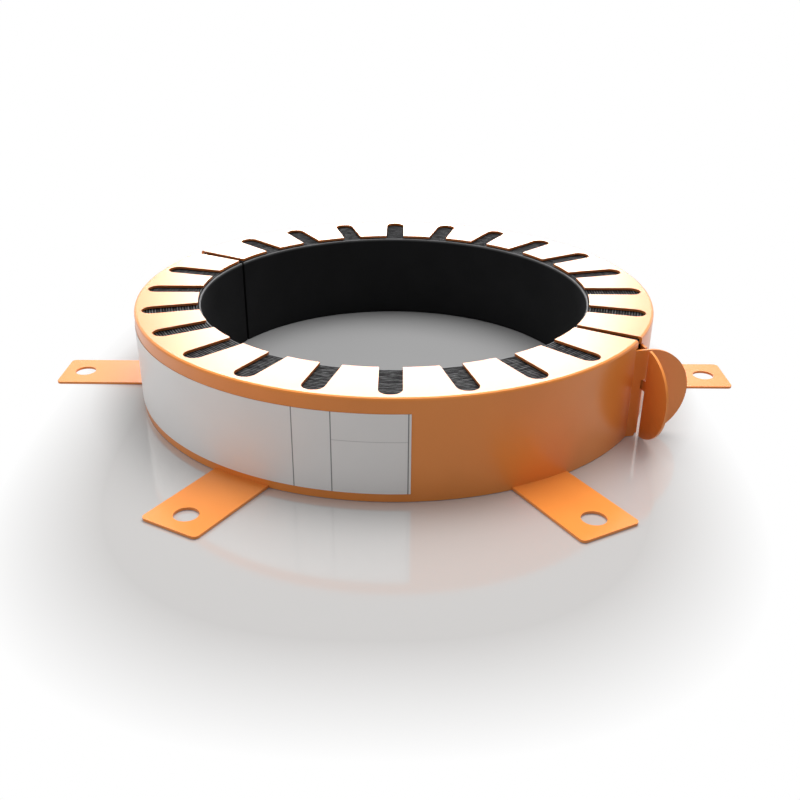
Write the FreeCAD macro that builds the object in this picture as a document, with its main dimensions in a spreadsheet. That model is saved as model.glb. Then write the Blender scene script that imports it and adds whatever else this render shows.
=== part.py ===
"""Pipe fire collar: two half shells of folded sheet steel that hook into each other around
a plastic pipe, each lined with a half ring of layered swelling mat.

The frame: the origin is the ring's centre on the plane that the collar is fixed against,
+Z points away from that plane, and azimuths count from +X, counter-clockwise from above.
Every half is modelled about its own +X axis and then turned to its place on the ring.
"""
import FreeCAD
import Part
import Sketcher
import os

# Driving dimensions in millimetres, degrees or counts
SIZES = {
    "outer_diameter": 218.0,        # across the band's outer face
    "collar_height": 40.0,          # from the fixing plane to the top of the flange
    "sheet_thickness": 1.0,         # steel, folded sharp, so a fold's outside radius is as large
    "ring_depth": 27.0,             # from the band's outer face in to the bore, which is 164 wide
    "tongue_setback": 1.0,          # how far the tongue ends stop short of the liner's inner face
    "split_azimuth": -30.0,         # where the halves meet; the other split is opposite
    "split_gap": 4.2,               # between the halves' flanges at the outer face
    "slot_positions": 24,           # slots and splits share this even pitch around the ring
    "slot_width": 8.5,
    "slot_margin": 3.0,             # from the slots' round ends to the band's outer face
    "tab_count": 6,
    "tab_length": 39.0,             # beyond the band's outer face
    "tab_width": 24.5,
    "tab_corner": 2.0,              # rounding of a tab's free corners
    "hole_diameter": 9.0,
    "hole_inset": 9.5,              # from a tab's free end to the middle of its hole
    "lug_height": 36.4,             # the lugs start at the fixing plane
    "lug_lean": 44.0,               # of each lug, away from the split's radial plane
    "lug_crossing": 3.4,            # how far outside the band the two lugs cross
    "lug_nose": 0.2,                # from the crossing to the centre of a lug's half disc
    "lug_bend": 1.0,                # inside radius of the soft fold from band to lug
    "lug_relief": 0.6,              # clear height over a lug, under the rest of the band
    "slit_clearance": 1.2,          # beside the sheet that passes through a lug's slit
    "slit_rise": 1.3,               # how far both lugs' open slit reaches above their half height
    "hook_height": 4.0,             # of the web above it that the other lug drops over
    "hook_clearance": 0.5,          # between that web and the other lug
    "liner_clearance": 0.2,         # between the liner and the steel around it
    "liner_joint": 1.0,             # from a liner's end face to the split's radial plane
    "layer_count": 6,               # bundles of layers that show as ridges on the liner's top
    "layer_groove": 0.5,            # depth between two ridges
    "label_bottom": 3.2,
    "label_height": 31.0,
    "label_length": 160.0,          # along the band
    "label_end_azimuth": -86.2,
    "label_thickness": 0.2,
    "label_film": 0.05,             # glue between the label and the band
}

# Places on a half, as expressions on the sheet; its splits are at azimuths of -90 and 90
OUTER = "(Sizes.outer_diameter / 2)"
SHEET = "Sizes.sheet_thickness"
INNER = f"({OUTER} - {SHEET})"
HEIGHT = "Sizes.collar_height"
LINER_BORE = f"({OUTER} - Sizes.ring_depth)"
TONGUE_END = f"({LINER_BORE} + Sizes.tongue_setback)"
SHELL_ANGLE = f"(180 - 2 * asin(Sizes.split_gap / 2 / {OUTER}) / 1deg)"

SLOT_PITCH = "(360 / Sizes.slot_positions)"
SLOT_COUNT = "(Sizes.slot_positions / 2 - 1)"
SLOT_CENTRE = f"({OUTER} - Sizes.slot_margin - Sizes.slot_width / 2)"

TAB_PITCH = "(360 / Sizes.tab_count)"
TABS_PER_HALF = "(Sizes.tab_count / 2)"
TAB_END = f"({OUTER} + Sizes.tab_length)"

# The lug plane: its distance from the axis, and places along it from the foot of that distance
CROSSING = f"({OUTER} + Sizes.lug_crossing)"
LUG_OFFSET = f"({CROSSING} * sin(Sizes.lug_lean))"
CROSSING_ALONG = f"({CROSSING} * cos(Sizes.lug_lean))"
NOSE_ALONG = f"({CROSSING_ALONG} + Sizes.lug_nose)"
LUG_AZIMUTH = "(90 + Sizes.lug_lean)"

# The fold between band and lug: its axis touches both when the sheet's middle is followed
FOLD_MIDDLE = f"(Sizes.lug_bend + {SHEET} / 2)"
FOLD_RADIUS = f"({OUTER} - {SHEET} / 2 + {FOLD_MIDDLE})"
FOLD_OFFSET = f"({LUG_OFFSET} + {FOLD_MIDDLE})"
FOLD_ALONG = f"sqrt({FOLD_RADIUS} * {FOLD_RADIUS} - {FOLD_OFFSET} * {FOLD_OFFSET})"
FOLD_TURN = f"(asin({FOLD_OFFSET} / {FOLD_RADIUS}) / 1deg)"
FOLD_AZIMUTH = f"({LUG_AZIMUTH} - {FOLD_TURN})"
FOLD_ANGLE = f"(90 - {FOLD_TURN})"
NOTCH_HEIGHT = "(Sizes.lug_height + Sizes.lug_relief)"

# A slit lets the other half's lug through, which comes at twice the lean
SLIT_WIDTH = (f"(({SHEET} + {SHEET} * abs(cos(2 * Sizes.lug_lean))) / sin(2 * Sizes.lug_lean)"
              " + 2 * Sizes.slit_clearance)")
SLIT_TOP = "(Sizes.lug_height / 2 + Sizes.slit_rise)"
HOOK_TOP = f"({SLIT_TOP} + Sizes.hook_height)"

LINER_OUTER = f"({INNER} - Sizes.liner_clearance)"
LINER_TOP = f"({HEIGHT} - {SHEET} - Sizes.liner_clearance)"
LAYER = f"(({LINER_OUTER} - {LINER_BORE}) / Sizes.layer_count)"
LINER_ANGLE = f"(180 - 2 * asin(Sizes.liner_joint / {LINER_OUTER}) / 1deg)"

LABEL_INNER = f"({OUTER} + Sizes.label_film)"
LABEL_ANGLE = f"(Sizes.label_length / {LABEL_INNER} * 180 / pi)"

NEAR = 0.01                         # how closely an edge's place is matched, in millimetres

document = FreeCAD.newDocument("pipe_fire_collar")


def make_sheet():
    """Write the driving dimensions into a spreadsheet, one row each, with their aliases."""
    sheet = document.addObject("Spreadsheet::Sheet", "Sizes")
    for row, (name, size) in enumerate(SIZES.items(), start=1):
        sheet.set(f"A{row}", name)
        sheet.set(f"B{row}", str(size))
        sheet.setAlias(f"B{row}", name)
    document.recompute()
    return sheet


def number(expression):
    """What an expression on the sheet comes to, for a starting place or a test."""
    return float(sizes.evalExpression(expression.replace("Sizes.", "")))


def origin_part(body, role):
    """One of a body's own origin planes or axes."""
    return next(part for part in body.Origin.OriginFeatures if part.Role == role)


def new_body(name):
    """A body whose label is also the name of its file."""
    body = document.addObject("PartDesign::Body", name)
    body.Label = name
    return body


def new_sketch(body, name, role, turn=None, shift=None):
    """A sketch on one of the body's origin planes, turned and shifted by expressions.

    The turn is about Z; the shift goes along the plane's own normal after the turn.
    """
    sketch = body.newObject("Sketcher::SketchObject", name)
    sketch.AttachmentSupport = [(origin_part(body, role), "")]
    sketch.MapMode = "FlatFace"
    if turn is not None:
        upright = role != "XY_Plane"
        axis = FreeCAD.Vector(0, 1, 0) if upright else FreeCAD.Vector(0, 0, 1)
        sketch.AttachmentOffset = FreeCAD.Placement(FreeCAD.Vector(), FreeCAD.Rotation(axis, 1))
        sketch.setExpression("AttachmentOffset.Rotation.Angle", turn)
    if shift is not None:
        sketch.setExpression("AttachmentOffset.Base.x", f"{shift} * sin{turn}")
        sketch.setExpression("AttachmentOffset.Base.z", f"{shift} * cos{turn}")
    return sketch


def hold(sketch, kind, expression, *where):
    """Add one dimension to a sketch and bind it to the sheet."""
    index = sketch.addConstraint(Sketcher.Constraint(kind, *where, number(expression)))
    sketch.setExpression(f"Constraints[{index}]", expression)


def hold_point(sketch, geometry, point, x, y):
    """Keep a point at a place given by two expressions."""
    hold(sketch, "DistanceX", x, -1, 1, geometry, point)
    hold(sketch, "DistanceY", y, -1, 1, geometry, point)


def draw_line(sketch, start, end):
    """A straight side between two places given by expressions."""
    ends = [FreeCAD.Vector(number(x), number(y), 0) for x, y in (start, end)]
    return sketch.addGeometry(Part.LineSegment(*ends))


def join(sketch, first, second):
    """Let one side's end be the next side's start."""
    sketch.addConstraint(Sketcher.Constraint("Coincident", first, 2, second, 1))


def outline(sketch, corners):
    """A closed outline of straight sides through corners given by expressions."""
    sides = [draw_line(sketch, corner, corners[(index + 1) % len(corners)])
             for index, corner in enumerate(corners)]
    for index, side in enumerate(sides):
        join(sketch, side, sides[(index + 1) % len(sides)])
        hold_point(sketch, side, 1, *corners[index])


def round_ended(sketch, start, centre, low, high):
    """An outline from x = start whose far end is a half circle about x = centre."""
    middle = FreeCAD.Vector(number(centre), (number(low) + number(high)) / 2, 0)
    radius = (number(high) - number(low)) / 2
    base = draw_line(sketch, (start, low), (centre, low))
    circle = Part.Circle(middle, FreeCAD.Vector(0, 0, 1), radius)
    quarter = number("pi / 2")
    end = sketch.addGeometry(Part.ArcOfCircle(circle, -quarter, quarter))
    top = draw_line(sketch, (centre, high), (start, high))
    back = draw_line(sketch, (start, high), (start, low))
    for first, second in ((base, end), (end, top), (top, back), (back, base)):
        join(sketch, first, second)
    hold_point(sketch, base, 1, start, low)
    hold_point(sketch, base, 2, centre, low)
    hold_point(sketch, top, 1, centre, high)
    hold(sketch, "DistanceX", start, -1, 1, top, 2)
    sketch.addConstraint(Sketcher.Constraint("Horizontal", top))
    hold(sketch, "DistanceX", centre, -1, 1, end, 3)


def tab_outline(sketch):
    """A tab's outline along +X with its fixing hole; its root follows the band's middle."""
    root = f"({OUTER} - {SHEET} / 2)"
    half_width = "(Sizes.tab_width / 2)"
    root_x = f"sqrt({root} * {root} - {half_width} * {half_width})"
    spread = number(f"asin({half_width} / {root}) / 1rad")
    circle = Part.Circle(FreeCAD.Vector(), FreeCAD.Vector(0, 0, 1), number(root))
    arc = sketch.addGeometry(Part.ArcOfCircle(circle, -spread, spread))
    left = draw_line(sketch, (root_x, half_width), (TAB_END, half_width))
    end = draw_line(sketch, (TAB_END, half_width), (TAB_END, f"-{half_width}"))
    right = draw_line(sketch, (TAB_END, f"-{half_width}"), (root_x, f"-{half_width}"))
    for first, second in ((arc, left), (left, end), (end, right), (right, arc)):
        join(sketch, first, second)
    sketch.addConstraint(Sketcher.Constraint("Coincident", arc, 3, -1, 1))
    hold(sketch, "Radius", root, arc)
    sketch.addConstraint(Sketcher.Constraint("Horizontal", left))
    sketch.addConstraint(Sketcher.Constraint("Horizontal", right))
    hold_point(sketch, left, 2, TAB_END, half_width)
    hold_point(sketch, end, 2, TAB_END, f"-{half_width}")
    hole_x = f"({TAB_END} - Sizes.hole_inset)"
    hole_centre = FreeCAD.Vector(number(hole_x), 0, 0)
    hole_radius = number("Sizes.hole_diameter / 2")
    hole = sketch.addGeometry(Part.Circle(hole_centre, FreeCAD.Vector(0, 0, 1), hole_radius))
    hold(sketch, "DistanceX", hole_x, -1, 1, hole, 3)
    sketch.addConstraint(Sketcher.Constraint("PointOnObject", hole, 3, -1))
    hold(sketch, "Radius", "Sizes.hole_diameter / 2", hole)


def revolve(body, name, sketch, angle, kind="PartDesign::Revolution", both_ways=True):
    """Turn a sketch about its own upright axis, evenly to both sides or one way."""
    feature = body.newObject(kind, name)
    feature.Profile = sketch
    feature.ReferenceAxis = (sketch, ["V_Axis"])
    feature.Midplane = both_ways
    feature.setExpression("Angle", angle)
    return feature


def extrude(body, name, sketch, length, kind="PartDesign::Pad", both_ways=False):
    """Pad or pocket a sketch by a length, one way or evenly to both sides."""
    feature = body.newObject(kind, name)
    feature.Profile = sketch
    feature.setExpression("Length", length)
    feature.SideType = "Symmetric" if both_ways else "One side"
    return feature


def repeat(body, name, features, pitch, count):
    """Repeat features about the ring's axis."""
    pattern = body.newObject("PartDesign::PolarPattern", name)
    pattern.Originals = features
    pattern.Axis = (origin_part(body, "Z_Axis"), [""])
    pattern.Mode = "Extent"
    pattern.setExpression("Angle", f"{pitch} * ({count} - 1)")
    pattern.setExpression("Occurrences", count)
    body.Tip = pattern
    return pattern


def round_edges(body, name, base, radius, wanted):
    """Fillet the edges of a feature that pass a test on their shape."""
    document.recompute()
    found = [f"Edge{index}" for index, edge in enumerate(base.Shape.Edges, start=1) if wanted(edge)]
    fillet = body.newObject("PartDesign::Fillet", name)
    fillet.Base = (base, found)
    fillet.setExpression("Radius", radius)
    body.Tip = fillet
    return fillet


def upright_edge(distance):
    """A test for upright edges at a distance from the axis."""
    def wanted(edge):
        straight = isinstance(edge.Curve, Part.Line)
        upright = straight and abs(edge.Curve.Direction.z) > 1 - NEAR
        away = all(abs(FreeCAD.Vector(vertex.X, vertex.Y, 0).Length - distance) < NEAR
                   for vertex in edge.Vertexes)
        return upright and away
    return wanted


def turn_to(body, azimuth):
    """Turn a finished body's own +X axis to an azimuth on the ring."""
    body.Placement = FreeCAD.Placement(FreeCAD.Vector(), FreeCAD.Rotation(FreeCAD.Vector(0, 0, 1), 1))
    body.setExpression("Placement.Rotation.Angle", azimuth)


def add_shell(body):
    """Band and flange as one folded section, turned about the axis, with its slots.

    The fold's outside is two flats whose corners lie on a round of the sheet's thickness.
    """
    section = new_sketch(body, f"{body.Name}_section", "XZ_Plane")
    below = f"({HEIGHT} - {SHEET})"
    setback = f"({SHEET} * (1 - sqrt(0.5)))"
    outline(section, [(INNER, "0"), (OUTER, "0"), (OUTER, below),
                      (f"({OUTER} - {setback})", f"({HEIGHT} - {setback})"), (INNER, HEIGHT),
                      (TONGUE_END, HEIGHT), (TONGUE_END, below), (INNER, below)])
    shell = revolve(body, f"{body.Name}_shell", section, SHELL_ANGLE)

    window = new_sketch(body, f"{body.Name}_slot_outline", "XY_Plane", turn=f"({SLOT_PITCH} - 90)")
    half_width = "(Sizes.slot_width / 2)"
    round_ended(window, f"({TONGUE_END} - Sizes.slot_width)", SLOT_CENTRE,
                f"-{half_width}", half_width)
    slot = extrude(body, f"{body.Name}_slot", window, f"3 * {HEIGHT}", "PartDesign::Pocket", True)
    repeat(body, f"{body.Name}_slots", [slot], SLOT_PITCH, SLOT_COUNT)
    return shell, slot


def add_tabs(body):
    """Tabs folded outwards from the band's lower edge, with their holes and round corners."""
    first = f"({TAB_PITCH} / 2 - 90)"
    plan = new_sketch(body, f"{body.Name}_tab_outline", "XY_Plane", turn=first)
    tab_outline(plan)
    tab = extrude(body, f"{body.Name}_tab", plan, SHEET)
    tabs = repeat(body, f"{body.Name}_tabs", [tab], TAB_PITCH, TABS_PER_HALF)
    corner_distance = number(f"sqrt({TAB_END} * {TAB_END} + Sizes.tab_width * Sizes.tab_width / 4)")
    corners = round_edges(body, f"{body.Name}_tab_corners", tabs, "Sizes.tab_corner",
                          upright_edge(corner_distance))

    # The fold's outer side: the band's lower inner corner is rounded over each tab's width
    corner = new_sketch(body, f"{body.Name}_fold_corner", "XZ_Plane", turn=first)
    floor = draw_line(corner, (INNER, "0"), (OUTER, "0"))
    circle = Part.Circle(FreeCAD.Vector(number(OUTER), number(SHEET), 0),
                         FreeCAD.Vector(0, 0, 1), number(SHEET))
    curve = corner.addGeometry(Part.ArcOfCircle(circle, number("pi"), number("1.5 * pi")))
    wall = draw_line(corner, (INNER, SHEET), (INNER, "0"))
    corner.addConstraint(Sketcher.Constraint("Coincident", floor, 2, curve, 2))
    corner.addConstraint(Sketcher.Constraint("Coincident", curve, 1, wall, 1))
    join(corner, wall, floor)
    hold_point(corner, floor, 1, INNER, "0")
    hold_point(corner, floor, 2, OUTER, "0")
    hold_point(corner, wall, 1, INNER, SHEET)
    hold(corner, "DistanceX", OUTER, -1, 1, curve, 3)
    span = f"(2 * asin(Sizes.tab_width / 2 / ({OUTER} - {SHEET} / 2)) / 1deg)"
    relief = revolve(body, f"{body.Name}_tab_fold", corner, span, "PartDesign::Groove")
    folds = repeat(body, f"{body.Name}_tab_folds", [relief], TAB_PITCH, TABS_PER_HALF)
    return corners, relief, folds


def cut_slit(body, name, turn, shift, low, high):
    """Slit a lug where the other one crosses it, between two heights."""
    plan = new_sketch(body, f"{body.Name}_{name}_outline", "XZ_Plane", turn=turn, shift=shift)
    left = f"({CROSSING_ALONG} - {SLIT_WIDTH} / 2)"
    right = f"({CROSSING_ALONG} + {SLIT_WIDTH} / 2)"
    outline(plan, [(left, low), (right, low), (right, high), (left, high)])
    return extrude(body, f"{body.Name}_{name}", plan, f"2 * {SHEET}", "PartDesign::Pocket", True)


def add_lugs(body):
    """Half-disc lugs folded outwards at both ends, with the slits that hook them together."""
    notch_plan = new_sketch(body, f"{body.Name}_notch_outline", "XY_Plane", turn=FOLD_AZIMUTH)
    beside = f"({OUTER} * sin(90 - {FOLD_AZIMUTH}) + Sizes.split_gap)"
    outline(notch_plan, [(f"({INNER} - {SHEET})", "0"), (f"({OUTER} + {SHEET})", "0"),
                         (f"({OUTER} + {SHEET})", beside), (f"({INNER} - {SHEET})", beside)])
    notch = extrude(body, f"{body.Name}_notch", notch_plan, f"2 * {NOTCH_HEIGHT}",
                    "PartDesign::Pocket", True)

    fold_plan = new_sketch(body, f"{body.Name}_fold_section", "XZ_Plane")
    fold_plan.AttachmentOffset = FreeCAD.Placement(
        FreeCAD.Vector(), FreeCAD.Rotation(FreeCAD.Vector(0, 1, 0), 1))
    fold_plan.setExpression("AttachmentOffset.Rotation.Angle", "(Sizes.lug_lean + 180)")
    fold_plan.setExpression("AttachmentOffset.Base.x", f"{FOLD_RADIUS} * cos{FOLD_AZIMUTH}")
    fold_plan.setExpression("AttachmentOffset.Base.z", f"-{FOLD_RADIUS} * sin{FOLD_AZIMUTH}")
    outline(fold_plan, [("Sizes.lug_bend", "0"), (f"(Sizes.lug_bend + {SHEET})", "0"),
                        (f"(Sizes.lug_bend + {SHEET})", "Sizes.lug_height"),
                        ("Sizes.lug_bend", "Sizes.lug_height")])
    fold = revolve(body, f"{body.Name}_lug_fold", fold_plan, FOLD_ANGLE, both_ways=False)

    face = new_sketch(body, f"{body.Name}_lug_outline", "XZ_Plane", turn=LUG_AZIMUTH, shift=LUG_OFFSET)
    round_ended(face, FOLD_ALONG, NOSE_ALONG, "0", "Sizes.lug_height")
    lug = extrude(body, f"{body.Name}_lug", face, SHEET, both_ways=True)

    pair = body.newObject("PartDesign::Mirrored", f"{body.Name}_lugs")
    pair.Originals = [notch, fold, lug]
    pair.MirrorPlane = (origin_part(body, "XZ_Plane"), [""])
    body.Tip = pair

    # The lug at azimuth 90 drops over a web in the one at -90; below the web both are slit open
    here = (LUG_AZIMUTH, LUG_OFFSET)
    there = (f"(-{LUG_AZIMUTH})", f"-{LUG_OFFSET}")
    long_slit = cut_slit(body, "long_slit", *here, f"-{SHEET}", f"({HOOK_TOP} + Sizes.hook_clearance)")
    upper_slit = cut_slit(body, "upper_slit", *there, HOOK_TOP, HEIGHT)
    lower_slit = cut_slit(body, "lower_slit", *there, f"-{SHEET}", SLIT_TOP)
    return notch, pair, long_slit, upper_slit, lower_slit


def make_housing(name, azimuth):
    """One half shell: band, slotted flange, three tabs and two lugs from a single sheet."""
    body = new_body(name)
    shell, slot = add_shell(body)
    corners, relief, folds = add_tabs(body)
    notch, *slit_steps = add_lugs(body)
    turn_to(body, azimuth)
    document.recompute()
    slits = list(zip(slit_steps[1:], slit_steps))
    for cut, before in [(slot, shell), (relief, corners), (notch, folds)] + slits:
        must_cut(cut, before)
    return body


def make_liner(name, azimuth):
    """One half of the swelling pack: layers wound round the bore, their edges on top."""
    body = new_body(name)
    section = new_sketch(body, f"{name}_section", "XZ_Plane")
    corners = [(LINER_BORE, "0"), (LINER_OUTER, "0")]
    layers = int(number("Sizes.layer_count"))
    for layer in range(layers, 0, -1):
        corners.append((f"({LINER_BORE} + {LAYER} * {layer})", f"({LINER_TOP} - Sizes.layer_groove)"))
        corners.append((f"({LINER_BORE} + {LAYER} * ({layer} - 0.5))", LINER_TOP))
    corners.append((LINER_BORE, f"({LINER_TOP} - Sizes.layer_groove)"))
    outline(section, corners)
    revolve(body, f"{name}_pack", section, LINER_ANGLE)
    turn_to(body, azimuth)
    return body


def make_label():
    """A thin plate of film bent round the front half's band."""
    body = new_body("label")
    section = new_sketch(body, "label_section", "XZ_Plane")
    outside = f"({LABEL_INNER} + Sizes.label_thickness)"
    top = "(Sizes.label_bottom + Sizes.label_height)"
    outline(section, [(LABEL_INNER, "Sizes.label_bottom"), (outside, "Sizes.label_bottom"),
                      (outside, top), (LABEL_INNER, top)])
    revolve(body, "label_film", section, LABEL_ANGLE)
    turn_to(body, f"Sizes.label_end_azimuth - {LABEL_ANGLE} / 2")
    return body


def must_cut(feature, before):
    """Stop if a cut took nothing away, as it does when it points off the solid."""
    if feature.Shape.Volume >= before.Shape.Volume - NEAR:
        raise RuntimeError(f"{feature.Name} removes nothing")


def check_document(bodies):
    """Stop if any object failed, or a body isn't one valid solid."""
    for item in document.Objects:
        if "Invalid" in item.State or "Error" in item.State:
            raise RuntimeError(f"{item.Name} did not build")
    for body in bodies:
        shape = body.Shape
        if shape.isNull() or not shape.isValid() or len(shape.Solids) != 1:
            raise RuntimeError(f"{body.Label} isn't one valid solid")


sizes = make_sheet()
FRONT = "Sizes.split_azimuth - 90"
REAR = "Sizes.split_azimuth + 90"
pieces = [
    make_housing("housing_front", FRONT),
    make_housing("housing_rear", REAR),
    make_liner("liner_front", FRONT),
    make_liner("liner_rear", REAR),
    make_label(),
]
document.recompute()
check_document(pieces)

os.makedirs("parts", exist_ok=True)
for piece in pieces:
    piece.Shape.exportStep(f"parts/{piece.Label}.step")
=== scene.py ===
"""The looks of the pipe fire collar: two half shells in orange powder coat, the wound swelling mat
inside them, the bare label, a pale table in soft light, and the camera at the photograph's place.
The collar's sizes are in millimetres and degrees, and those of the studio in metres."""
import math
import bmesh
import bpy
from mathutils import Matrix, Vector


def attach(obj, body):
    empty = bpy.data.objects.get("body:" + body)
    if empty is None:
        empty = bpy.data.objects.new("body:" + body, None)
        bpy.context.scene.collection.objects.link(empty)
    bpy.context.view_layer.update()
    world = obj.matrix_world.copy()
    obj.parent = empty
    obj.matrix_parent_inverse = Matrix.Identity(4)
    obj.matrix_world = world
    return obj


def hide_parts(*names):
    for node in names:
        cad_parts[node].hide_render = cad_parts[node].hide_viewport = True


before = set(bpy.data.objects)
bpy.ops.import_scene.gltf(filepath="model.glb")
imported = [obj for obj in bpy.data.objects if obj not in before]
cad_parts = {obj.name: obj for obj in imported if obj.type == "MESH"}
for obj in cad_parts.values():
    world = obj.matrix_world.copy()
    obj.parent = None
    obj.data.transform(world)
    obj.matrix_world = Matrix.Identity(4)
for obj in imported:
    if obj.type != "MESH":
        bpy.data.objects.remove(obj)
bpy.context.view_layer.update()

MM = 0.001

# The collar as it is in the CAD
BAND_RADIUS = 109.0
SHEET = 1.0
COLLAR_HEIGHT = 40.0
SPLIT_AZIMUTH = -30.0
BORE_RADIUS = 82.0
LINER_RADIUS = 107.8
LINER_TOP = 38.8
# From the split to the end of a half of the mat, at its outer radius
LINER_SETBACK = 1.0
LABEL_RADIUS = 109.05
LABEL_THICKNESS = 0.2
LABEL_BOTTOM = 3.2
LABEL_TOP = 34.2
LABEL_LENGTH = 160.0
LABEL_RIGHT_END = -86.2

# The mat's turns as the slots show them
LAYERS = 23
LAYER_PITCH = (LINER_RADIUS - BORE_RADIUS) / LAYERS
LAYER_GAP = 0.12
RIDGE_DEPTH = 0.25
WAVE_HEIGHT = 0.3

# How round the edges are: a fold's and a cut edge's share of the coat's rounding, and the label's own
COAT_ROUNDING = 0.3
FOLD_SHARE = 1.0
CUT_EDGE_SHARE = 0.35
LABEL_ROUNDING = 0.06
ROUNDING_STEPS = 2

# Angles between two faces, in degrees: a flat face, the least rounded edge, the steepest fold, a crease
FLAT_ANGLE = 0.6
EDGE_ANGLE = 20
FOLD_ANGLE = 50
CREASE_ANGLE = 40

# Rule lines on the label: azimuths and widths in degrees, and one level line between the last two
UPRIGHT_LINES = ((-108.1, 0.14), (-100.7, 0.14), (-86.7, 0.16))
LEVEL_LINE_HEIGHT = 23.6
LEVEL_LINE_WIDTH = 0.16
# The share of ink in a line, and of that ink in the level one
INK_SHARE = 0.85
LEVEL_INK_SHARE = 0.35

# How finely round walls are divided, and how near two points are one
MAT_STEPS = 180
MAT_STEPS_ACROSS = 5
LABEL_STEPS = 140
SAME_POINT = 0.001

# Colours, in linear light
COAT_DEEP = (0.83, 0.262, 0.048, 1.0)
COAT_BRIGHT = (0.90, 0.295, 0.058, 1.0)
COAT_SPECKLE = (0.98, 0.39, 0.10, 1.0)
# Painted shade for the slots' walls
SHADE_PAINTED_ON_SLOT_WALLS = (0.44, 0.135, 0.034, 1.0)
MAT_BLACK = (0.007, 0.007, 0.0075, 1.0)
MAT_CLOUD = (0.0145, 0.0145, 0.0155, 1.0)
# The grey of the mat's streaks, also used for the painted highlight at its bore edge
MAT_STREAK_AND_HIGHLIGHT = (0.14, 0.14, 0.143, 1.0)
FILM_DULL = (0.84, 0.82, 0.81, 1.0)
FILM_PALE = (0.90, 0.89, 0.885, 1.0)
RULE_INK = (0.10, 0.10, 0.11, 1.0)
TABLE_DULL = (0.475, 0.463, 0.455, 1.0)
TABLE_PALE = (0.495, 0.483, 0.475, 1.0)
# Painted shade on the table inside the bore
PAINTED_SHADE_IN_BORE = (0.275, 0.275, 0.275, 1.0)
WHITE = (1.0, 1.0, 1.0, 1.0)

# The table, and the oval of it that is seen round the collar before it fades to white, in metres
TABLE_SIZE = 6.0
TABLE_DROP = 0.0002
FADE_MIDDLE_X = -0.005
FADE_MIDDLE_Y = -0.061
FADE_SIDE = 0.1265
FADE_FRONT = 0.155
FADE_BACK = 0.25
FADE_SQUARENESS = 2.5
# Shares of the oval where the fade starts and ends, and the least fade
FADE_STARTS = 0.79
FADE_ENDS = 1.08
FADE_LEAST = 0.10
# Radii in millimetres: inside the first nothing fades, and outside the second the oval alone says how
# much
UNFADED_RADIUS = BAND_RADIUS - 9.0
FULL_FADE_RADIUS = BAND_RADIUS + 23.0

# Light from all round, where 1 is white
ROOM_LIGHT = 0.30

# The camera, found from the ring's circles in the photograph, in metres and degrees, with its lens
# and sensor in millimetres and its shift in widths of the picture
CAMERA_PLACE = (0.0034, -0.3998, 0.1782)
CAMERA_DIP = 27.39
CAMERA_TURN = 1.01
CAMERA_LENS = 43.75
CAMERA_SENSOR = 36.0
CAMERA_SHIFT_X = 0.0189
CAMERA_SHIFT_Y = 0.0401
CAMERA_NEAREST = 0.01


# Nodes and their links

def link(tree, value, socket):
    """Join a socket to another, or write a plain value on it."""
    if isinstance(value, bpy.types.NodeSocket):
        tree.links.new(value, socket)
    else:
        socket.default_value = value


def add_node(tree, kind, values=None, **settings):
    """A node with its settings, whose inputs get sockets or plain values by name or by number."""
    node = tree.nodes.new(kind)
    for setting, choice in settings.items():
        setattr(node, setting, choice)
    for label, value in (values or {}).items():
        link(tree, value, node.inputs[label])
    return node


def maths(tree, operation, *values, clamp=False):
    node = add_node(tree, "ShaderNodeMath", dict(enumerate(values)), operation=operation, use_clamp=clamp)
    return node.outputs[0]


def plus(tree, first, second):
    return maths(tree, "ADD", first, second)


def minus(tree, first, second):
    return maths(tree, "SUBTRACT", first, second)


def times(tree, first, second):
    return maths(tree, "MULTIPLY", first, second)


def over(tree, first, second):
    return maths(tree, "DIVIDE", first, second)


def greater(tree, first, second):
    return maths(tree, "MAXIMUM", first, second)


def vector(tree, x, y, z=0.0):
    return add_node(tree, "ShaderNodeCombineXYZ", {0: x, 1: y, 2: z}).outputs[0]


def coordinates(tree, place):
    return add_node(tree, "ShaderNodeSeparateXYZ", {0: place}).outputs


def map_range(tree, value, low, high, to_low=0.0, to_high=1.0):
    """A value between low and high, carried over to a range of its own and held at its ends."""
    limits = dict(enumerate((value, low, high, to_low, to_high)))
    return add_node(tree, "ShaderNodeMapRange", limits).outputs[0]


def mix_colour(tree, share, first, second):
    """The first colour, with this share of the second."""
    mix = add_node(tree, "ShaderNodeMix", {"Factor": share, "A": first, "B": second}, data_type="RGBA")
    return mix.outputs["Result"]


def noise(tree, place, scale, detail, roughness=0.5):
    values = {"Vector": place, "Scale": scale, "Detail": detail, "Roughness": roughness}
    return add_node(tree, "ShaderNodeTexNoise", values).outputs["Fac"]


def bump(tree, height, depth, strength):
    """A normal from a height, whose full range is this deep in millimetres."""
    values = {"Height": height, "Distance": depth * MM, "Strength": strength}
    return add_node(tree, "ShaderNodeBump", values).outputs["Normal"]


def object_place(tree):
    return add_node(tree, "ShaderNodeTexCoord").outputs["Object"]


def group_tree(name, kind, inputs, outputs):
    """A new node tree with inputs and outputs given as label: socket type."""
    tree = bpy.data.node_groups.new(name, kind)
    for in_out, sockets in (("INPUT", inputs), ("OUTPUT", outputs)):
        for label, socket_type in sockets.items():
            tree.interface.new_socket(label, in_out=in_out, socket_type=socket_type)
    return tree, tree.nodes.new("NodeGroupInput").outputs, tree.nodes.new("NodeGroupOutput").inputs


def place_group(tree, group, **values):
    """Put a shader group into a material, with its own values for the group's inputs."""
    named = {label.replace("_", " "): value for label, value in values.items()}
    return add_node(tree, "ShaderNodeGroup", named, node_tree=group).outputs


# Shader groups that several finishes share

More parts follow.
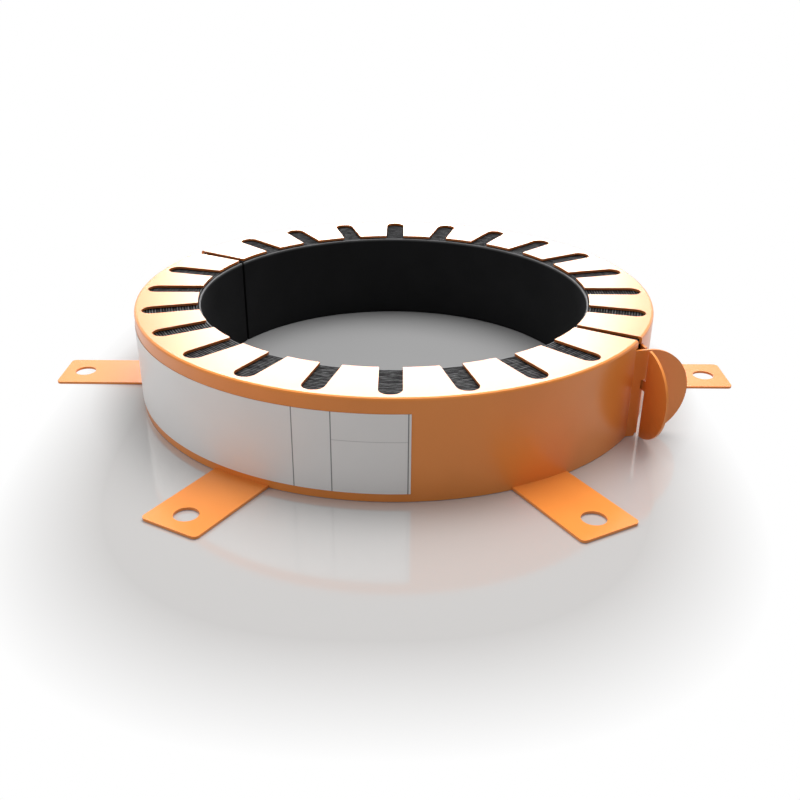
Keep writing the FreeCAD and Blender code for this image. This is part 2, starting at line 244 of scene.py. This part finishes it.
def make_ring_places():
    """Azimuth in degrees, and radius and height in millimetres, of a place on the ring."""
    tree, given, out = group_tree(
        "ring_places", "ShaderNodeTree", {"Place": "NodeSocketVector"},
        dict.fromkeys(("Azimuth", "Radius", "Height"), "NodeSocketFloat"))
    x, y, z = coordinates(tree, given["Place"])
    turn = maths(tree, "ARCTAN2", y, x)
    reach = maths(tree, "SQRT", plus(tree, times(tree, x, x), times(tree, y, y)))
    link(tree, times(tree, turn, math.degrees(1)), out["Azimuth"])
    link(tree, times(tree, reach, 1 / MM), out["Radius"])
    link(tree, times(tree, z, 1 / MM), out["Height"])
    return tree


def make_fine_grain():
    """Even small grain and a softer cloudiness, with their sizes in millimetres."""
    tree, given, out = group_tree(
        "fine_grain", "ShaderNodeTree",
        {"Place": "NodeSocketVector", "Grain size": "NodeSocketFloat", "Cloud size": "NodeSocketFloat"},
        dict.fromkeys(("Grain", "Cloud"), "NodeSocketFloat"))
    for label, detail in (("Grain", 3.0), ("Cloud", 2.0)):
        scale = over(tree, 1 / MM, given[f"{label} size"])
        link(tree, noise(tree, given["Place"], scale, detail), out[label])
    return tree


def make_rule_line():
    """A mask that is 1 on a line across one coordinate, and falls to 0 over its softness."""
    tree, given, out = group_tree(
        "rule_line", "ShaderNodeTree",
        dict.fromkeys(("Across", "Middle", "Width", "Softness"), "NodeSocketFloat"),
        {"Mask": "NodeSocketFloat"})
    away = maths(tree, "ABSOLUTE", minus(tree, given["Across"], given["Middle"]))
    beyond = minus(tree, away, times(tree, given["Width"], 0.5))
    falling = over(tree, beyond, given["Softness"])
    link(tree, maths(tree, "SUBTRACT", 1.0, falling, clamp=True), out["Mask"])
    return tree


# Finishes

def new_finish(name):
    """A new material, with its tree and its shader."""
    material = bpy.data.materials.new(name)
    material.use_nodes = True
    tree = material.node_tree
    shader = next(node for node in tree.nodes if node.type == "BSDF_PRINCIPLED")
    return material, tree, shader


def powder_coat():
    """Satin orange powder coat, faintly orange-peeled, with painted shade on the slots' cut walls."""
    material, tree, shader = new_finish("orange_powder_coat")
    place = object_place(tree)
    peel = place_group(tree, fine_grain, Place=place, Grain_size=0.55, Cloud_size=38.0)
    speckle = place_group(tree, fine_grain, Place=place, Grain_size=0.16, Cloud_size=3.0)
    cloudy = mix_colour(tree, map_range(tree, peel["Cloud"], 0.35, 0.65), COAT_DEEP, COAT_BRIGHT)
    speckles = map_range(tree, speckle["Grain"], 0.42, 0.72, to_high=0.22)
    speckled = mix_colour(tree, speckles, cloudy, COAT_SPECKLE)

    # Painted shade: a slot's wall, which lies just under the flange's face and inside the band, is darkened
    # where the slot shades it
    ring = place_group(tree, ring_places, Place=place)
    under_face = map_range(tree, ring["Height"], COLLAR_HEIGHT - 0.04, COLLAR_HEIGHT - 0.12)
    inside_band = map_range(tree, ring["Radius"], BAND_RADIUS - SHEET - 0.4, BAND_RADIUS - SHEET - 0.8)
    painted_slot_shade = times(tree, under_face, inside_band)
    link(tree, mix_colour(tree, painted_slot_shade, speckled, SHADE_PAINTED_ON_SLOT_WALLS), shader.inputs["Base Color"])

    roughness = map_range(tree, peel["Grain"], 0.3, 0.7, to_low=0.30, to_high=0.40)
    link(tree, roughness, shader.inputs["Roughness"])
    shader.inputs["Specular IOR Level"].default_value = 0.12
    shader.inputs["Coat Weight"].default_value = 0.7
    shader.inputs["Coat Roughness"].default_value = 0.3
    height = plus(tree, times(tree, peel["Grain"], 0.7), times(tree, speckle["Grain"], 0.3))
    link(tree, bump(tree, height, depth=0.012, strength=0.8), shader.inputs["Normal"])
    return material


def swelling_mat():
    """Near-black graphite mat: smooth on its faces, streaked with grey along its wound edges, with a
    painted highlight along its upper edge at the bore.
    """
    material, tree, shader = new_finish("graphite_mat")
    place = object_place(tree)
    ring = place_group(tree, ring_places, Place=place)
    grain = place_group(tree, fine_grain, Place=place, Grain_size=0.35, Cloud_size=14.0)

    # Streaks run along the turns, strongest on each layer's crest. A layer crests at its middle and a
    # sine after a quarter, so the sine is set back by a quarter
    cells_a_degree = 0.30
    cells_a_millimetre = 0.75
    set_back = 0.25
    crest_strength = 0.40
    uneven_strength = 2.0
    streak_place = vector(tree, times(tree, ring["Azimuth"], cells_a_degree),
                          times(tree, ring["Radius"], cells_a_millimetre))
    uneven = noise(tree, streak_place, scale=1.0, detail=3.0, roughness=0.6)
    turns = over(tree, minus(tree, ring["Radius"], BORE_RADIUS), LAYER_PITCH)
    crest = maths(tree, "SINE", times(tree, minus(tree, turns, set_back), math.tau))
    streaks = plus(tree, times(tree, crest, crest_strength), times(tree, uneven, uneven_strength))
    streaked = map_range(tree, streaks, 1.06, 1.60)

    # Only the upper edges are streaked pale, and the one at the bore gets a painted highlight all along
    on_top = map_range(tree, ring["Height"], LINER_TOP - 1.4, LINER_TOP - 0.5)
    painted_bore_highlight = map_range(tree, ring["Radius"], BORE_RADIUS + 0.75, BORE_RADIUS + 0.45)
    pale = times(tree, greater(tree, streaked, painted_bore_highlight), on_top)
    dark = mix_colour(tree, grain["Cloud"], MAT_BLACK, MAT_CLOUD)
    link(tree, mix_colour(tree, pale, dark, MAT_STREAK_AND_HIGHLIGHT), shader.inputs["Base Color"])
    roughness = map_range(tree, grain["Grain"], 0.3, 0.7, to_low=0.55, to_high=0.75)
    link(tree, roughness, shader.inputs["Roughness"])
    shader.inputs["Specular IOR Level"].default_value = 0.17
    streak_depth = 4.0
    height = plus(tree, grain["Grain"], times(tree, streaks, times(tree, on_top, streak_depth)))
    link(tree, bump(tree, height, depth=0.05, strength=0.7), shader.inputs["Normal"])
    return material


def label_paper():
    """Pale grey film with fields parted by plain rule lines."""
    material, tree, shader = new_finish("pale_film")
    place = object_place(tree)
    ring = place_group(tree, ring_places, Place=place)
    grain = place_group(tree, fine_grain, Place=place, Grain_size=0.25, Cloud_size=30.0)

    lines = 0.0
    for middle, width in UPRIGHT_LINES:
        mask = place_group(tree, rule_line, Across=ring["Azimuth"], Middle=middle, Width=width,
                           Softness=0.06)["Mask"]
        lines = greater(tree, lines, mask)
    level = place_group(tree, rule_line, Across=ring["Height"], Middle=LEVEL_LINE_HEIGHT,
                        Width=LEVEL_LINE_WIDTH, Softness=0.12)["Mask"]
    (left_end, _), (right_end, _) = UPRIGHT_LINES[1:]
    in_field = times(tree, maths(tree, "GREATER_THAN", ring["Azimuth"], left_end),
                     maths(tree, "LESS_THAN", ring["Azimuth"], right_end))
    lines = greater(tree, lines, times(tree, times(tree, level, in_field), LEVEL_INK_SHARE))

    paper = mix_colour(tree, grain["Cloud"], FILM_DULL, FILM_PALE)
    inked = times(tree, lines, INK_SHARE)
    link(tree, mix_colour(tree, inked, paper, RULE_INK), shader.inputs["Base Color"])
    roughness = map_range(tree, grain["Grain"], 0.3, 0.7, to_low=0.38, to_high=0.48)
    link(tree, roughness, shader.inputs["Roughness"])
    link(tree, bump(tree, grain["Grain"], depth=0.006, strength=0.5), shader.inputs["Normal"])
    return material


def table_fade(tree, place, radius):
    """How far the table has turned to plain white: none under the ring, all outside a squarish oval."""
    x, y, _ = coordinates(tree, place)
    across = maths(tree, "ABSOLUTE", over(tree, minus(tree, x, FADE_MIDDLE_X), FADE_SIDE))
    back = minus(tree, y, FADE_MIDDLE_Y)
    depth = greater(tree, over(tree, back, -FADE_FRONT), over(tree, back, FADE_BACK))
    powers = [maths(tree, "POWER", way, FADE_SQUARENESS) for way in (across, depth)]
    oval = maths(tree, "POWER", plus(tree, *powers), 1 / FADE_SQUARENESS)
    fade = map_range(tree, oval, FADE_STARTS, FADE_ENDS, to_low=FADE_LEAST)
    off_the_ring = map_range(tree, radius, UNFADED_RADIUS, FULL_FADE_RADIUS)
    return times(tree, fade, off_the_ring)


def floor_finish():
    """Glossy pale table with painted shade in the bore, which fades to plain white away from the collar."""
    material, tree, shader = new_finish("white_table")
    place = object_place(tree)
    grain = place_group(tree, fine_grain, Place=place, Grain_size=4.0, Cloud_size=300.0)
    ring = place_group(tree, ring_places, Place=place)
    open_table = mix_colour(tree, grain["Cloud"], TABLE_DULL, TABLE_PALE)
    # Painted shade: the table's colour darkens inside the bore, where the collar shades it
    beyond = map_range(tree, ring["Radius"], BORE_RADIUS + 3.0, BAND_RADIUS - SHEET)
    link(tree, mix_colour(tree, beyond, PAINTED_SHADE_IN_BORE, open_table), shader.inputs["Base Color"])
    roughness = map_range(tree, grain["Grain"], 0.2, 0.8, to_low=0.08, to_high=0.11)
    link(tree, roughness, shader.inputs["Roughness"])
    shader.inputs["IOR"].default_value = 2.3
    gloss_in_bore = 0.10
    gloss = map_range(tree, beyond, 0.0, 1.0, to_low=gloss_in_bore)
    link(tree, gloss, shader.inputs["Specular IOR Level"])

    # Lamps still light the table, which only looks white to the camera and in a gloss
    rays = add_node(tree, "ShaderNodeLightPath").outputs
    seen = greater(tree, rays["Is Camera Ray"], rays["Is Glossy Ray"])
    white = add_node(tree, "ShaderNodeEmission", {"Color": WHITE, "Strength": 1.0})
    fading = times(tree, table_fade(tree, place, ring["Radius"]), seen)
    blend = add_node(tree, "ShaderNodeMixShader", {0: fading, 1: shader.outputs[0], 2: white.outputs[0]})
    output = next(node for node in tree.nodes if node.type == "OUTPUT_MATERIAL")
    link(tree, blend.outputs[0], output.inputs["Surface"])
    return material


# Pieces of the collar

def add_piece(name, mesh):
    piece = bpy.data.objects.new(name, mesh)
    bpy.context.scene.collection.objects.link(piece)
    return piece


def settle(piece):
    """Turn a piece's modifiers into its plain mesh."""
    bpy.context.view_layer.update()
    seen = piece.evaluated_get(bpy.context.evaluated_depsgraph_get())
    mesh = bpy.data.meshes.new_from_object(seen)
    piece.modifiers.clear()
    piece.data = mesh
    return mesh


def shade_flat_faces_evenly(piece):
    """Let large faces lead the shading, so that only rounded edges look round."""
    even = piece.modifiers.new("even_faces", "WEIGHTED_NORMAL")
    even.mode = "FACE_AREA"
    even.weight = 100


def rounding_share(edge):
    """How much of the coat's rounding an edge gets: all where band and flange fold, little where cut."""
    angle = edge.calc_face_angle() if len(edge.link_faces) == 2 else 0.0
    if angle < math.radians(EDGE_ANGLE):
        return 0.0
    near = 0.01
    radii = [math.hypot(v.co.x, v.co.y) / MM for v in edge.verts]
    heights = [v.co.z / MM for v in edge.verts]
    on_fold = min(radii) > BAND_RADIUS - SHEET - near and max(radii) < BAND_RADIUS + near
    at_top = min(heights) > COLLAR_HEIGHT - SHEET - near
    level = abs(heights[0] - heights[1]) < near
    gentle = angle < math.radians(FOLD_ANGLE)
    return FOLD_SHARE if on_fold and at_top and level and gentle else CUT_EDGE_SHARE


def steel_half(name, node):
    """A half shell with its folds and cut edges rounded as the coat leaves them."""
    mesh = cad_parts[node].data.copy()
    mesh.materials.clear()
    mesh.materials.append(orange)
    piece = add_piece(name, mesh)
    bm = bmesh.new()
    bm.from_mesh(mesh)
    bmesh.ops.remove_doubles(bm, verts=bm.verts, dist=SAME_POINT * MM)
    bmesh.ops.dissolve_limit(bm, angle_limit=math.radians(FLAT_ANGLE), verts=bm.verts, edges=bm.edges)
    weights = bm.edges.layers.float.new("bevel_weight_edge")
    for edge in bm.edges:
        edge[weights] = rounding_share(edge)
    bm.to_mesh(mesh)
    bm.free()
    mesh.shade_smooth()
    rounding = piece.modifiers.new("coat_rounding", "BEVEL")
    rounding.limit_method = "WEIGHT"
    rounding.width = COAT_ROUNDING * MM
    rounding.segments = ROUNDING_STEPS
    shade_flat_faces_evenly(piece)
    settle(piece)
    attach(piece, "root")
    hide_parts(node)
    return piece


def make_wound_liner():
    """A half mat: a straight bar for each layer, bent round the bore, with an uneven upper edge."""
    counts = dict.fromkeys(("Steps", "Layers"), "NodeSocketInt")
    sizes = dict.fromkeys(("Bore radius", "Layer pitch", "Layer gap", "Top", "Ridge depth",
                           "Wave height", "Middle azimuth", "Sweep", "Seed"), "NodeSocketFloat")
    tree, given, out = group_tree(
        "wound_liner", "GeometryNodeTree",
        {**counts, **sizes, "Finish": "NodeSocketMaterial"}, {"Geometry": "NodeSocketGeometry"})

    # A bar at each point of a stack, one point for each layer
    stack = add_node(tree, "GeometryNodeMeshLine", {"Count": given["Layers"]})
    number = add_node(tree, "GeometryNodeInputIndex").outputs[0]
    numbered = add_node(tree, "GeometryNodeStoreNamedAttribute",
                        {"Geometry": stack.outputs[0], "Name": "layer", "Value": number}, data_type="FLOAT")
    bar = add_node(tree, "GeometryNodeMeshCube",
                   {"Vertices X": given["Steps"], "Vertices Y": MAT_STEPS_ACROSS, "Vertices Z": 2})
    bars = add_node(tree, "GeometryNodeInstanceOnPoints",
                    {"Points": numbered.outputs[0], "Instance": bar.outputs["Mesh"]})
    real = add_node(tree, "GeometryNodeRealizeInstances", {0: bars.outputs[0]})

    # A point's place in its own bar, from -0.5 to 0.5, as each layer's bar stands one unit higher
    layer = add_node(tree, "GeometryNodeInputNamedAttribute", {"Name": "layer"},
                     data_type="FLOAT").outputs["Attribute"]
    along, across, raised = coordinates(tree, add_node(tree, "GeometryNodeInputPosition").outputs[0])
    up = minus(tree, raised, layer)

    azimuth = minus(tree, given["Middle azimuth"], times(tree, along, given["Sweep"]))
    turn = times(tree, azimuth, math.radians(1))
    width = minus(tree, given["Layer pitch"], given["Layer gap"])
    inner = plus(tree, given["Bore radius"], times(tree, layer, given["Layer pitch"]))
    radius = plus(tree, inner, times(tree, plus(tree, across, 0.5), width))

    # The upper edge is arched over a layer's thickness, and wanders up and down along it
    cells_a_degree = 0.55
    cells_a_layer = 3.7
    wander_place = vector(tree, times(tree, azimuth, cells_a_degree), times(tree, layer, cells_a_layer),
                          given["Seed"])
    wave = times(tree, noise(tree, wander_place, scale=1.0, detail=3.0), given["Wave height"])
    side_squared = 0.5 ** 2
    arch = times(tree, times(tree, across, across), times(tree, given["Ridge depth"], 1 / side_squared))
    top = minus(tree, minus(tree, given["Top"], arch), wave)
    height = times(tree, plus(tree, up, 0.5), top)

    bent = vector(tree, times(tree, radius, maths(tree, "COSINE", turn)),
                  times(tree, radius, maths(tree, "SINE", turn)), height)
    in_metres = add_node(tree, "ShaderNodeVectorMath", {0: bent, "Scale": MM}, operation="SCALE")
    formed = add_node(tree, "GeometryNodeSetPosition",
                      {"Geometry": real.outputs[0], "Position": in_metres.outputs[0]})
    finished = add_node(tree, "GeometryNodeSetMaterial",
                        {"Geometry": formed.outputs[0], "Material": given["Finish"]})
    link(tree, finished.outputs[0], out["Geometry"])
    return tree


def grow(name, tree, values):
    """A piece made by a Geometry Nodes tree with these input values."""
    piece = add_piece(name, bpy.data.meshes.new(name))
    modifier = piece.modifiers.new(tree.name, "NODES")
    modifier.node_group = tree
    for item in tree.interface.items_tree:
        if item.in_out == "INPUT":
            modifier[item.identifier] = values[item.name]
    return piece


def liner_half(name, node, middle, seed):
    """One half of the mat, wound in its true number of layers."""
    setback = math.degrees(math.asin(LINER_SETBACK / LINER_RADIUS))
    piece = grow(name, wound_liner, {
        "Steps": MAT_STEPS, "Layers": LAYERS, "Bore radius": BORE_RADIUS, "Layer pitch": LAYER_PITCH,
        "Layer gap": LAYER_GAP, "Top": LINER_TOP, "Ridge depth": RIDGE_DEPTH, "Wave height": WAVE_HEIGHT,
        "Middle azimuth": middle, "Sweep": 180.0 - 2 * setback, "Seed": seed, "Finish": graphite})
    mesh = settle(piece)
    mesh.shade_smooth()
    mesh.set_sharp_from_angle(angle=math.radians(CREASE_ANGLE))
    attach(piece, "root")
    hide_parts(node)
    return piece


def label_wall(bm, radius):
    """Pairs of points, low and high, along the label at one radius."""
    sweep = math.degrees(LABEL_LENGTH / LABEL_RADIUS)
    wall = []
    for step in range(LABEL_STEPS + 1):
        turn = math.radians(LABEL_RIGHT_END - sweep * step / LABEL_STEPS)
        x, y = radius * math.cos(turn), radius * math.sin(turn)
        wall.append([bm.verts.new(Vector((x, y, z)) * MM) for z in (LABEL_BOTTOM, LABEL_TOP)])
    return wall


def label_film():
    """The bare label: a thin film bent round the band, with softened edges."""
    bm = bmesh.new()
    back = label_wall(bm, LABEL_RADIUS)
    front = label_wall(bm, LABEL_RADIUS + LABEL_THICKNESS)
    for near in range(LABEL_STEPS):
        far = near + 1
        bm.faces.new((front[near][0], front[near][1], front[far][1], front[far][0]))
        bm.faces.new((back[near][0], back[far][0], back[far][1], back[near][1]))
        bm.faces.new((front[near][0], front[far][0], back[far][0], back[near][0]))
        bm.faces.new((front[near][1], back[near][1], back[far][1], front[far][1]))
    for end in (0, LABEL_STEPS):
        bm.faces.new((front[end][0], front[end][1], back[end][1], back[end][0]))
    bmesh.ops.recalc_face_normals(bm, faces=bm.faces)
    mesh = bpy.data.meshes.new("label_film")
    bm.to_mesh(mesh)
    bm.free()
    mesh.materials.append(paper)
    piece = add_piece("label_film", mesh)
    mesh.shade_smooth()
    rounding = piece.modifiers.new("cut_edge", "BEVEL")
    rounding.width = LABEL_ROUNDING * MM
    rounding.segments = ROUNDING_STEPS
    rounding.angle_limit = math.radians(CREASE_ANGLE)
    shade_flat_faces_evenly(piece)
    settle(piece)
    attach(piece, "root")
    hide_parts("label")
    return piece


# The studio

def lay_floor():
    """The table top, a hair under the collar."""
    mesh = bpy.data.meshes.new("table")
    bm = bmesh.new()
    bmesh.ops.create_grid(bm, x_segments=1, y_segments=1, size=TABLE_SIZE)
    bm.to_mesh(mesh)
    bm.free()
    mesh.materials.append(floor_finish())
    floor = add_piece("table", mesh)
    floor.location.z = -TABLE_DROP
    return floor


def hang_lamp(name, place, aim, width, height, radiance):
    """A soft rectangular lamp; its power gives the radiance, where 1 is white."""
    data = bpy.data.lights.new(name, "AREA")
    data.shape = "RECTANGLE"
    data.size, data.size_y = width, height
    data.energy = radiance * math.pi * width * height
    lamp = bpy.data.objects.new(name, data)
    bpy.context.scene.collection.objects.link(lamp)
    lamp.location = place
    lamp.rotation_euler = (Vector(aim) - Vector(place)).to_track_quat("-Z", "Y").to_euler()
    lamp.visible_camera = False
    return lamp


def hang_soft_lamps():
    """Soft light from above and from the left, which no gloss mirrors."""
    lamps = [hang_lamp("overhead", place=(0.14, 0.40, 1.15), aim=(0, 0, 0),
                       width=1.3, height=1.0, radiance=6.5),
             hang_lamp("left", place=(-1.25, -0.25, 0.5), aim=(0, 0, 0.02),
                       width=0.8, height=0.7, radiance=2.2)]
    for lamp in lamps:
        lamp.visible_glossy = False


def stand_bright_cards(floor):
    """Cards behind the collar that only shine in its gloss, and stay out of the table's mirror image."""
    cards = [hang_lamp("behind", place=(0.0, 1.5, 0.68), aim=(0, 0, 0.05),
                       width=0.91, height=0.82, radiance=7.6),
             hang_lamp("behind_wide", place=(0.0, 1.6, 0.62), aim=(0, 0, 0.05),
                       width=3.2, height=1.0, radiance=0.9)]
    spared = bpy.data.collections.new("spared_by_cards")
    spared.objects.link(floor)
    spared.collection_objects[0].light_linking.link_state = "EXCLUDE"
    for card in cards:
        card.visible_diffuse = False
        card.light_linking.receiver_collection = spared


def light_room():
    """Even light from all round, where the camera sees plain white."""
    world = bpy.data.worlds.new("room")
    world.use_nodes = True
    tree = world.node_tree
    room = tree.nodes["Background"]
    room.inputs["Color"].default_value = WHITE
    seen = add_node(tree, "ShaderNodeLightPath").outputs["Is Camera Ray"]
    link(tree, map_range(tree, seen, 0.0, 1.0, to_low=ROOM_LIGHT), room.inputs["Strength"])
    bpy.context.scene.world = world


def aim_camera():
    data = bpy.data.cameras.new("camera")
    data.sensor_width = CAMERA_SENSOR
    data.lens = CAMERA_LENS
    data.shift_x = CAMERA_SHIFT_X
    data.shift_y = CAMERA_SHIFT_Y
    data.clip_start = CAMERA_NEAREST
    camera = bpy.data.objects.new("camera", data)
    bpy.context.scene.collection.objects.link(camera)
    camera.location = CAMERA_PLACE
    camera.rotation_euler = (math.radians(90 - CAMERA_DIP), 0, math.radians(CAMERA_TURN))
    bpy.context.scene.camera = camera


ring_places = make_ring_places()
fine_grain = make_fine_grain()
rule_line = make_rule_line()
orange = powder_coat()
graphite = swelling_mat()
paper = label_paper()
wound_liner = make_wound_liner()

aim_camera()
table = lay_floor()
hang_soft_lamps()
stand_bright_cards(table)
light_room()
bpy.context.scene.view_settings.view_transform = "Standard"

steel_half("front_steel", "housing_front")
steel_half("rear_steel", "housing_rear")
liner_half("front_mat", "liner_front", SPLIT_AZIMUTH - 90, 4.0)
liner_half("rear_mat", "liner_rear", SPLIT_AZIMUTH + 90, 11.0)
label_film()
